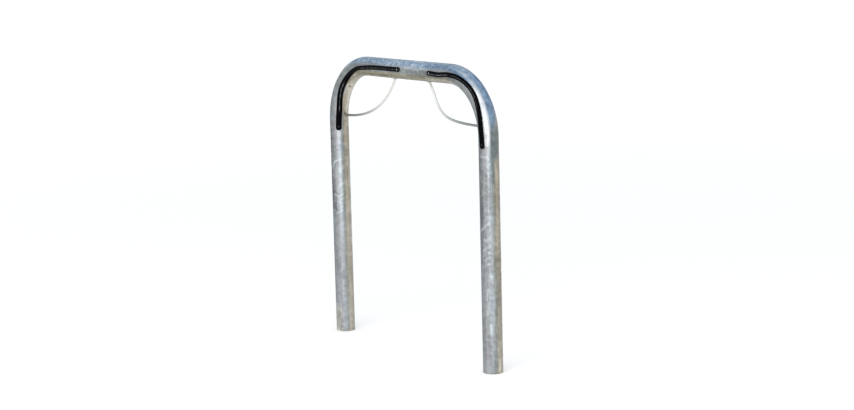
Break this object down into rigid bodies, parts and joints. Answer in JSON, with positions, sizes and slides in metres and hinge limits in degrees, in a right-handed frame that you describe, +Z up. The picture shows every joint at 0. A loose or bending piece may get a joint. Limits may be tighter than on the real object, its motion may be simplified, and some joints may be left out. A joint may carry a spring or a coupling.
{
  "type": "hoop bike rack",
  "caption": "Inverted-U bicycle hoop of bent galvanised tube, with riveted rubber strips along its bends and a welded lock rod across each inner corner.",
  "frame": {"origin": "on the ground, midway between the two legs", "axes": "+X from leg to leg, +Z up, -Y towards the side that the picture shows"},
  "size_m": [0.8522, 0.0728, 0.9111],
  "materials": {
    "galvanised_steel": "hot-dip galvanised, spangled, dull",
    "galvanised_rod": "hot-dip galvanised, brighter and smoother than the tube",
    "black_rubber": "satin, slightly dusty",
    "rivet_aluminium": "dull",
    "rivet_steel": "plain, snapped off"
  },
  "bodies": {
    "root": {"hoop_tube": "galvanised_steel", "lock_rod_left": "galvanised_rod", "lock_rod_right": "galvanised_rod", "strip_front_left": "black_rubber", "rivet_front_left_leg": "rivet_aluminium", "rivet_pin_front_left_leg": "rivet_steel", "rivet_front_left_bar": "rivet_aluminium", "rivet_pin_front_left_bar": "rivet_steel", "strip_front_right": "black_rubber", "rivet_front_right_leg": "rivet_aluminium", "rivet_pin_front_right_leg": "rivet_steel", "rivet_front_right_bar": "rivet_aluminium", "rivet_pin_front_right_bar": "rivet_steel", "strip_rear_left": "black_rubber", "rivet_rear_left_leg": "rivet_aluminium", "rivet_pin_rear_left_leg": "rivet_steel", "rivet_rear_left_bar": "rivet_aluminium", "rivet_pin_rear_left_bar": "rivet_steel", "strip_rear_right": "black_rubber", "rivet_rear_right_leg": "rivet_aluminium", "rivet_pin_rear_right_leg": "rivet_steel", "rivet_rear_right_bar": "rivet_aluminium", "rivet_pin_rear_right_bar": "rivet_steel"}
  },
  "joints": []
}
